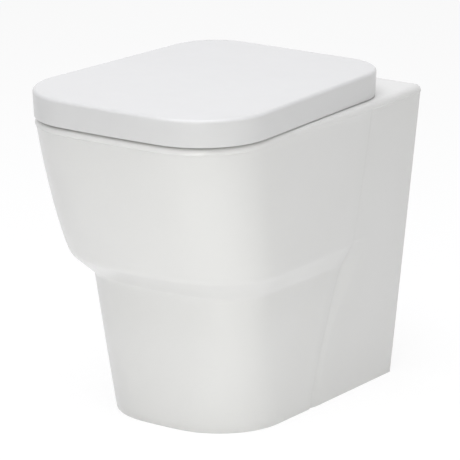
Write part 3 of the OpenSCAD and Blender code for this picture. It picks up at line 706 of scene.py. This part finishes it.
def rounded(corners):
    # An outline whose corners are eased over the reach given with each of them
    found = []
    for i, (a, b, r) in enumerate(corners):
        if r == 0:
            found.append((a, b))
            continue
        here = Vector((a, b))
        before, after = Vector(corners[i - 1][:2]), Vector(corners[(i + 1) % len(corners)][:2])
        enter = here + (before - here).normalized() * r
        leave = here + (after - here).normalized() * r
        found += [tuple(bend(enter, here, leave, t / 5)) for t in range(6)]
    while len(found) % 4:
        found.append(tuple(mixAll(found[-1], found[0], 0.5)))
    return found


def detail(piece, node, body, angle=35):
    # A small piece is named after its node
    words = node.split("_")
    piece.name = words[0] + "".join(word.capitalize() for word in words[1:])
    piece.data.name = piece.name
    finishPiece(piece, node, body, angle)


post = {"edge": 1.0 * mm, "corner": 2.0 * mm, "hollow": 1.5 * mm,
        "foot": (-7 * mm, 10 * mm),               # its front and rear, from the fixings
        "armLow": -6.5 * mm, "top": 4 * mm,       # its arm's underside and top, from the pins
        "studBore": 4.2 * mm, "studGap": 0.2 * mm, "boreDepth": 20 * mm,
        "recess": (9.4 * mm, 2.3 * mm, 5.4 * mm)}     # width, reach past the button, height


def makePost(hand, side):
    x, y, z = side * fixingX, hingeAxis.y, hingeAxis.z
    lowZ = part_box("hinge_post_" + hand)[0].z
    r, corner = hinge["knuckleR"], post["corner"]
    front, rear = (fixingY + reachY for reachY in post["foot"])
    under, over = math.asin(post["armLow"] / r), math.asin(post["top"] / r)
    profile = [(front, lowZ, corner), (rear, lowZ, corner * 0.5),
               (rear, z + post["armLow"], post["hollow"])]
    profile += [(a, b, 0) for a, b in arc(y, z, r, -math.pi - under, math.pi - over, 24)]
    profile.append((front, z + post["top"], corner))
    ends = (x - hinge["postW"] / 2, x + hinge["postW"] / 2)
    piece = sleeve("post", [[(end, a, b) for a, b in rounded(profile)] for end in ends])
    soften(piece, post["edge"])
    cut(piece, rod("bore", (x, y, z), hinge["pinBore"], 2 * hinge["postW"], along="X"))
    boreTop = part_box("fixing_stud_left")[1].z + post["studGap"]
    cut(piece, rod("bore", (x, fixingY, boreTop - post["boreDepth"] / 2), post["studBore"],
                   post["boreDepth"]))
    low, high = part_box("release_button_" + hand)
    wide, deeper, tall = post["recess"]
    middle = (low.z + high.z) / 2
    cut(piece, block("recess", (x - wide / 2, low.y - deeper, middle - tall / 2),
                     (x + wide / 2, high.y, middle + tall / 2)))
    return piece


button = {"edge": 0.6 * mm, "grooves": 3, "grooveR": 0.35 * mm, "apart": 1.2 * mm}


def makeButton(hand):
    low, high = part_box("release_button_" + hand)
    piece = soften(block("button", low, high), button["edge"])
    middle = (low + high) / 2
    for i in range(button["grooves"]):
        z = middle.z + (i - (button["grooves"] - 1) / 2) * button["apart"]
        cut(piece, rod("groove", (middle.x, high.y, z), button["grooveR"], 2 * (high.x - low.x),
                       along="X", vertices=16))
    return piece


def standing(node):
    # A round part that stands: its radius, its height and the middle of its foot
    low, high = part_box(node)
    middle = (low + high) / 2
    return (high.x - low.x) / 2, high.z - low.z, (middle.x, middle.y, low.z)


washer = {"hinge_plate_": 0.6 * mm, "hinge_gasket_": 0.4 * mm}     # how far the rims are eased


def makeWasher(kind, hand):
    # A flat ring with eased rims
    r, tall, foot = standing(kind + hand)
    edge, bore = washer[kind], post["studBore"]
    profile = [(r - edge * (1 - math.sin(a)), edge * (1 - math.cos(a))) for a in quarter(2)]
    profile += [(r - edge * (1 - math.cos(a)), tall - edge * (1 - math.sin(a))) for a in quarter(3)]
    profile += [(bore + edge / 2, tall), (bore, tall - edge / 2), (bore, 0)]
    return turned("washer", foot, profile, count=64, hollow=True)


pin = {"chamfer": 0.7 * mm, "dimple": 0.4 * mm, "dimpleR": (0.25, 0.4),
       "groove": ((0, 4 * mm), (0.4 * mm, 4.3 * mm), (0.4 * mm, 5.2 * mm), (0, 5.5 * mm))}


def makePin(node):
    # A chamfered pin with a dimple in each end and a groove near it
    low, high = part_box(node)
    r, half, edge = (high.z - low.z) / 2, (high.x - low.x) / 2, pin["chamfer"]
    inner, outer = pin["dimpleR"]
    profile = [(r * inner, pin["dimple"]), (r * outer, 0), (r - edge, 0), (r, edge)]
    profile += [(r - deep, z) for deep, z in pin["groove"]]
    profile = [(a, b - half) for a, b in profile]
    profile += [(a, -b) for a, b in reversed(profile)]
    return turned("pin", (low + high) / 2, profile, along="X", count=64)


thread = {"pitch": 1.25 * mm, "deep": 0.6 * mm, "crest": (0.42, 0.58), "plain": 14 * mm,
          "tip": (1.2 * mm, 0.7 * mm), "edge": 0.6 * mm}


def makeStud(node):
    r, tall, foot = standing(node)
    root, pitch, edge = r - thread["deep"], thread["pitch"], thread["edge"]
    inset, z = thread["tip"]
    profile = [(r - inset, 0), (root, z)]
    while z + pitch < tall - thread["plain"]:
        profile += [(r, z + pitch * share) for share in thread["crest"]]
        z += pitch
        profile.append((root, z))
    profile += [(r, z + edge), (r, tall - edge), (r - edge, tall)]
    return turned("stud", foot, profile, count=40)


socket = {"ribs": 7, "ribDeep": 0.7 * mm, "ribsFrom": 3 * mm, "ribsLess": 10 * mm,
          "crest": (0.75, 0.9), "crestIn": 0.1 * mm, "tip": (1.2 * mm, 1.5 * mm),
          "collar": 5 * mm, "edge": 0.5 * mm, "boreEdge": 0.4 * mm,
          "slot": 1.2 * mm, "slotHigh": 20 * mm}


def makeSocket(node):
    # A slotted plug with barbs that grip the hole in the china
    r, tall, foot = standing(node)
    bore, edge, boreEdge = post["studBore"], socket["edge"], socket["boreEdge"]
    root, collar = r - socket["ribDeep"], tall - socket["collar"]
    pitch = (tall - socket["ribsLess"]) / socket["ribs"]
    (inset, high), (widest, end) = socket["tip"], socket["crest"]
    profile = [(r - inset, 0), (root, high)]
    for i in range(socket["ribs"]):
        z = socket["ribsFrom"] + i * pitch
        profile += [(root, z), (r, z + pitch * widest), (r - socket["crestIn"], z + pitch * end)]
    profile += [(root, collar - mm), (r, collar), (r, tall - edge), (r - edge, tall),
                (bore + boreEdge, tall), (bore, tall - boreEdge), (bore, 0)]
    piece = turned("socket", foot, profile, count=56, hollow=True)
    x, y, z = foot
    for wide, deep in ((socket["slot"], 3 * r), (3 * r, socket["slot"])):
        cut(piece, block("slot", (x - wide / 2, y - deep / 2, z - mm),
                         (x + wide / 2, y + deep / 2, z + socket["slotHigh"])))
    return piece


nut = {"chamfer": 1.0 * mm, "slope": 0.6, "over": 0.1 * mm,
       "sinkWide": 1.0 * mm, "sinkAbove": 0.8 * mm, "sinkDeep": 0.2 * mm}


def makeNut(node):
    # A hexagon with both ends turned down and the bore countersunk
    r, tall, foot = standing(node)
    x, y, z = foot
    corners = [(r * math.cos(math.tau * i / 6), r * math.sin(math.tau * i / 6)) for i in range(7)]
    hexagon = [corners[0]]
    for a, b in zip(corners, corners[1:]):
        hexagon += line(a, b, 2)
    piece = sleeve("nut", [[(x + a, y + b, level) for a, b in hexagon[:-1]]
                           for level in (z, z + tall)])
    edge, over = nut["chamfer"], r + nut["over"]
    low = edge * nut["slope"]
    shape = [(r - edge, 0), (over, low), (over, tall - low), (r - edge, tall)]
    cut(piece, turned("chamfer", foot, shape, count=96), operation="INTERSECT")
    bore, deep = post["studBore"], nut["sinkDeep"]
    wide, above = bore + nut["sinkWide"], nut["sinkAbove"]
    shape = [(wide, -above), (bore, deep), (bore, tall - deep), (wide, tall + above)]
    return cut(piece, turned("bore", foot, shape, count=64))


insert = {"edge": 0.5 * mm, "boreEdge": 0.3 * mm, "bands": {"seat_damper": 6, "lid_damper": 6},
          "bandsFrom": 3 * mm, "pitch": 2.5 * mm,
          "band": ((0, 0), (0.4 * mm, 0.3 * mm), (0.4 * mm, 0.9 * mm), (0, 1.2 * mm))}


def makeInsert(node):
    # A damper or a bush: a tube with eased rims, and bands turned into the damper
    low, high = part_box(node)
    r, half, bore = (high.z - low.z) / 2, (high.x - low.x) / 2, hinge["pinBore"]
    edge, boreEdge = insert["edge"], insert["boreEdge"]
    profile = [(r - edge, 0), (r, edge)]
    for i in range(insert["bands"].get(node, 0)):
        z = insert["bandsFrom"] + i * insert["pitch"]
        profile += [(r - deep, z + up) for deep, up in insert["band"]]
    profile += [(r, 2 * half - edge), (r - edge, 2 * half), (bore + boreEdge, 2 * half),
                (bore, 2 * half - boreEdge), (bore, 0)]
    profile = [(a, b - half) for a, b in profile]
    return turned("insert", (low + high) / 2, profile, along="X", count=64, hollow=True)


buffer = {"width": 12 * mm, "length": 26 * mm, "corner": 3.5 * mm, "edge": 0.9 * mm,
          "lidR": 6 * mm, "dome": (0.2, 0.45, 0.65, 0.8, 0.92, 1), "domeHigh": 0.35,
          "lip": 0.6 * mm, "lipAt": (0.6, 0.64, 0.72, 0.76)}


def makeSeatBuffers():
    low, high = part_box("seat_buffers")
    wide, deep, corner = buffer["width"], buffer["length"], buffer["corner"]
    found = []
    for x in (low.x, high.x - wide):
        for y in (low.y, high.y - deep):
            flat = rounded([(x, y, corner), (x + wide, y, corner), (x + wide, y + deep, corner),
                            (x, y + deep, corner)])
            piece = sleeve("buffer", [raised(flat, low.z), raised(flat, high.z)])
            found.append(soften(piece, buffer["edge"]))
    return joined(found)


def makeLidBuffers():
    # Two studs with a domed foot and a lip
    low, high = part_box("lid_buffers")
    r, tall = buffer["lidR"], high.z - low.z
    profile = [(r * s, r * buffer["domeHigh"] * (1 - math.sqrt(1 - s * s))) for s in buffer["dome"]]
    narrow, lip = r - buffer["lip"], [tall * share for share in buffer["lipAt"]]
    profile += [(r, lip[0]), (narrow, lip[1]), (narrow, lip[2]), (r, lip[3]), (r, tall)]
    y = (low.y + high.y) / 2
    return joined([turned("buffer", (x, y, low.z), profile) for x in (low.x + r, high.x - r)])


# Finishes: every pattern is laid on Object coordinates, in metres

def newMaterial(name):
    material = bpy.data.materials.new(name)
    material.use_nodes = True
    tree = material.node_tree
    shader = tree.nodes["Principled BSDF"]
    return material, tree, shader


def noise(tree, scale, detail, stretch=None):
    # The value of a noise pattern, drawn out along an axis where the stretch is small
    place = tree.nodes.new("ShaderNodeTexCoord").outputs["Object"]
    if stretch:
        turn = tree.nodes.new("ShaderNodeMapping")
        turn.inputs["Scale"].default_value = stretch
        tree.links.new(place, turn.inputs["Vector"])
        place = turn.outputs["Vector"]
    node = tree.nodes.new("ShaderNodeTexNoise")
    node.inputs["Scale"].default_value = scale
    node.inputs["Detail"].default_value = detail
    tree.links.new(place, node.inputs["Vector"])
    return node.outputs["Fac"]


def ramp(tree, source, socket, *stops):
    # The source runs through two stops, each a position and a colour, into the socket
    node = tree.nodes.new("ShaderNodeValToRGB")
    tree.links.new(source, node.inputs["Fac"])
    for stop, (position, color) in zip(node.color_ramp.elements, stops):
        stop.position, stop.color = position, color
    tree.links.new(node.outputs["Color"], socket)


def grey(value, tint=(1, 1, 1)):
    return (value * tint[0], value * tint[1], value * tint[2], 1)


def bumps(tree, shader, source, strength, distance, under=None):
    node = tree.nodes.new("ShaderNodeBump")
    node.inputs["Strength"].default_value = strength
    node.inputs["Distance"].default_value = distance
    tree.links.new(source, node.inputs["Height"])
    if under:
        tree.links.new(under.outputs["Normal"], node.inputs["Normal"])
    tree.links.new(node.outputs["Normal"], shader.inputs["Normal"])
    return node


# Scales are per metre. Drift and cloud are (scale, detail), bumps (scale, detail, strength, height)
china = {"light": grey(0.736, (1, 1, 0.988)), "deep": grey(0.722, (1, 1, 0.984)),
         "drift": (7, 3), "ends": (0.3, 0.7), "smooth": 0.31, "dull": 0.35, "cloud": (30, 4),
         "bumps": ((22, 1, 0.25, 0.6 * mm), (900, 2, 0.02, 0.03 * mm)),     # waviness, then grain
         "sockets": {"Coat Weight": 0.5, "Coat Roughness": 0.14, "IOR": 1.5}}
# The seat's polished moulded thermoset is a cooler white
plastic = {"light": grey(0.692, (0.998, 1, 1)), "deep": grey(0.682, (0.998, 1, 1)),
           "drift": (12, 2), "ends": (0.35, 0.65), "smooth": 0.29, "dull": 0.33, "cloud": (60, 3),
           "bumps": ((1400, 2, 0.02, 0.02 * mm),),
           "sockets": {"Coat Weight": 0.25, "Coat Roughness": 0.2}}


def makeGlossy(name, look):
    # Fired glaze or polish: a faint drift of tone, a cloudy gloss, low bumps and a clear coat
    material, tree, shader = newMaterial(name)
    start, end = look["ends"]
    ramp(tree, noise(tree, *look["drift"]), shader.inputs["Base Color"],
         (start, look["deep"]), (end, look["light"]))
    ramp(tree, noise(tree, *look["cloud"]), shader.inputs["Roughness"],
         (0.3, grey(look["smooth"])), (0.7, grey(look["dull"])))
    under = None
    for scale, detail, strength, height in look["bumps"]:
        under = bumps(tree, shader, noise(tree, scale, detail), strength, height, under)
    for socket, value in look["sockets"].items():
        shader.inputs[socket].default_value = value
    return material


metal = {"lines": (60, 4), "deep": 0.85, "smooth": 0.8, "dull": 1.25, "strength": 0.12,
         "height": 0.05 * mm}


def makeMetal(name, colour, rough, stretch):
    # Fine turning or brushing lines along one direction
    material, tree, shader = newMaterial(name)
    lines = noise(tree, *metal["lines"], stretch)
    darker = tuple(c * metal["deep"] for c in colour[:3]) + (1,)
    ramp(tree, lines, shader.inputs["Base Color"], (0.35, darker), (0.7, colour))
    ramp(tree, lines, shader.inputs["Roughness"], (0.3, grey(rough * metal["smooth"])),
         (0.7, grey(rough * metal["dull"])))
    bumps(tree, shader, lines, metal["strength"], metal["height"])
    shader.inputs["Metallic"].default_value = 1.0
    return material


moulded = {"drift": (90, 3), "grain": (1200, 2), "smooth": 0.9, "dull": 1.1, "strength": 0.15,
           "height": 0.1 * mm}


def makeMoulded(name, light, deep, rough):
    # Moulded rubber or nylon with a fine spark-eroded grain
    material, tree, shader = newMaterial(name)
    drift, fine = noise(tree, *moulded["drift"]), noise(tree, *moulded["grain"])
    ramp(tree, drift, shader.inputs["Base Color"], (0.3, deep), (0.7, light))
    ramp(tree, fine, shader.inputs["Roughness"], (0.3, grey(rough * moulded["smooth"])),
         (0.7, grey(rough * moulded["dull"])))
    bumps(tree, shader, fine, moulded["strength"], moulded["height"])
    return material


materials = {
    "china": makeGlossy("china", china),
    "seat_plastic": makeGlossy("seatPlastic", plastic),
    "hinge_steel": makeMetal("hingeSteel", (0.62, 0.63, 0.64, 1), 0.28, (1, 14, 1)),
    "pin_steel": makeMetal("pinSteel", (0.55, 0.56, 0.57, 1), 0.22, (20, 1, 1)),
    "nut_brass": makeMetal("nutBrass", (0.60, 0.42, 0.16, 1), 0.32, (1, 1, 18)),
    "gasket_rubber": makeMoulded("gasketRubber", grey(0.30), grey(0.25), 0.6),
    "buffer_rubber": makeMoulded("bufferRubber", grey(0.70), grey(0.66), 0.55),
    "button_plastic": makeMoulded("buttonPlastic", grey(0.62), grey(0.58), 0.35),
    "hinge_plastic": makeMoulded("hingePlastic", grey(0.68, (1, 1, 0.95)),
                                 grey(0.63, (1, 1, 0.95)), 0.4),
}
print("finishes ready")

finishPiece(makePan(), "pan_shell", "pan", angle=28)
print("pan done")
finishPiece(makeBowl(), "bowl", "pan")
finishPiece(makeChannel(), "rim_channel", "pan")
print("bowl and channel done")
finishPiece(makeLid(), "lid", "lid", angle=30)
print("lid done")
finishPiece(makeSeat(), "seat_ring", "seat")
print("seat done")

for side, hand in ((-1, "left"), (1, "right")):
    detail(makePost(hand, side), "hinge_post_" + hand, "pan")
    detail(makeButton(hand), "release_button_" + hand, "button_" + hand)
    for kind in washer:
        detail(makeWasher(kind, hand), kind + hand, "pan")
    for kind, make in (("hinge_pin_", makePin), ("fixing_stud_", makeStud),
                       ("expansion_sleeve_", makeSocket), ("expansion_nut_", makeNut)):
        detail(make(kind + hand), kind + hand, "pan")
print("hinge posts and fixings done")
for body in ("seat", "lid"):
    for kind in ("_damper", "_bush"):
        detail(makeInsert(body + kind), body + kind, body)
detail(makeSeatBuffers(), "seat_buffers", "seat", angle=40)
detail(makeLidBuffers(), "lid_buffers", "lid", angle=40)
print("inserts and buffers done")

for node, slot in slotOf.items():
    for place in frame["nodes"][node].material_slots:
        place.material = materials[slot]
print("frame nodes finished")


# Floor, light and camera

studio = {"floorSize": 14, "floor": 0.95, "world": 0.36,
          "floorGlow": 1.06, "keep": 0.2}     # what is seen of the floor keeps this much shadow
softBoxes = {
    "overhead": {"at": (0.0, -0.4, 2.6), "aim": (0, 0, 0.3), "size": 2.2, "power": 45.2,
                 "color": (0.966, 0.963, 1.0)},
    "frontRight": {"at": (1.3, -2.6, 0.55), "aim": (0, 0, 0.2), "size": 1.0, "power": 8.7},
    "right": {"at": (3.0, 0.3, 1.1), "aim": (0, 0, 0.25), "size": 2.0, "power": 9.5},
    "floorWash": {"at": (0.4, -1.15, 1.1), "aim": (0.4, -1.15, 0), "size": 1.2, "spread": 60,
                  "power": 2.5},
    "footWash": {"at": (0.75, -1.35, 0.8), "aim": (0.12, -0.3, 0), "size": 0.5, "spread": 50,
                 "power": 0.47},
}
warm = (1.0, 1.0, 0.96)      # the lamps without a colour of their own
camera = {"azimuth": 36.1, "elevation": 15.5, "roll": -0.2, "distance": 4.8837, "focus": 3600,
          "frame": 460, "target": (0, 0.0256, 0.2364), "sensor": 36, "farEnd": 50}


def seenRays(tree):
    # 1 for the rays by which the floor and the background are seen
    path = tree.nodes.new("ShaderNodeLightPath")
    total = path.outputs["Is Camera Ray"]
    for kind in ("Is Glossy Ray", "Is Transmission Ray"):
        more = tree.nodes.new("ShaderNodeMath")
        more.operation = "MAXIMUM"
        tree.links.new(total, more.inputs[0])
        tree.links.new(path.outputs[kind], more.inputs[1])
        total = more.outputs["Value"]
    return total


def makeFloor():
    clearSelection()
    bpy.ops.mesh.primitive_plane_add(size=studio["floorSize"], location=(0, 0, 0))
    floor = named("floor")
    material, tree = newMaterial("floor")[:2]
    tree.nodes.clear()
    out = tree.nodes.new("ShaderNodeOutputMaterial")
    matt = tree.nodes.new("ShaderNodeBsdfDiffuse")
    matt.inputs["Color"].default_value = grey(studio["floor"])
    glow = tree.nodes.new("ShaderNodeEmission")
    glow.inputs["Strength"].default_value = studio["floorGlow"]
    blend = tree.nodes.new("ShaderNodeMixShader")
    share = tree.nodes.new("ShaderNodeMath")
    share.operation = "MULTIPLY"
    share.inputs[1].default_value = 1 - studio["keep"]
    tree.links.new(seenRays(tree), share.inputs[0])
    tree.links.new(share.outputs["Value"], blend.inputs["Fac"])
    tree.links.new(matt.outputs["BSDF"], blend.inputs[1])
    tree.links.new(glow.outputs["Emission"], blend.inputs[2])
    tree.links.new(blend.outputs["Shader"], out.inputs["Surface"])
    floor.data.materials.append(material)


def makeWorld():
    world = bpy.data.worlds.new("studio")
    bpy.context.scene.world = world
    world.use_nodes = True
    tree = world.node_tree
    tree.nodes.clear()
    out = tree.nodes.new("ShaderNodeOutputWorld")
    dim, white = (tree.nodes.new("ShaderNodeBackground") for i in range(2))
    for node, strength in ((dim, studio["world"]), (white, 1.0)):
        node.inputs["Color"].default_value = (1, 1, 1, 1)
        node.inputs["Strength"].default_value = strength
    blend = tree.nodes.new("ShaderNodeMixShader")
    tree.links.new(seenRays(tree), blend.inputs["Fac"])
    tree.links.new(dim.outputs["Background"], blend.inputs[1])
    tree.links.new(white.outputs["Background"], blend.inputs[2])
    tree.links.new(blend.outputs["Shader"], out.inputs["Surface"])


def makeSoftBox(name, box):
    clearSelection()
    bpy.ops.object.light_add(type="AREA", location=box["at"])
    lamp = bpy.context.object
    lamp.name = name
    lamp.data.shape = "SQUARE"
    lamp.data.size = box["size"]
    lamp.data.energy = box["power"]
    lamp.data.color = box.get("color", warm)
    lamp.data.spread = math.radians(box.get("spread", 180))
    away = Vector(box["at"]) - Vector(box["aim"])
    lamp.rotation_euler = away.to_track_quat("Z", "Y").to_euler()


def makeCamera():
    azimuth, elevation, roll = (math.radians(camera[k]) for k in ("azimuth", "elevation", "roll"))
    ahead = Vector((-math.sin(azimuth) * math.cos(elevation),
                    math.cos(azimuth) * math.cos(elevation), -math.sin(elevation)))
    right = Vector((math.cos(azimuth), math.sin(azimuth), 0))
    up = right.cross(ahead)
    across = right * math.cos(roll) + up * math.sin(roll)
    upright = up * math.cos(roll) - right * math.sin(roll)
    clearSelection()
    bpy.ops.object.camera_add()
    eye = bpy.context.object
    turn = Matrix((across, upright, -ahead)).transposed().to_4x4()
    place = Vector(camera["target"]) - ahead * camera["distance"]
    eye.matrix_world = Matrix.Translation(place) @ turn
    eye.data.sensor_width = camera["sensor"]
    eye.data.lens = camera["focus"] / camera["frame"] * camera["sensor"]
    eye.data.clip_end = camera["farEnd"]
    bpy.context.scene.camera = eye


makeFloor()
makeWorld()
for name, box in softBoxes.items():
    makeSoftBox(name, box)
makeCamera()
bpy.context.scene.view_settings.view_transform = "Standard"
print("studio ready")
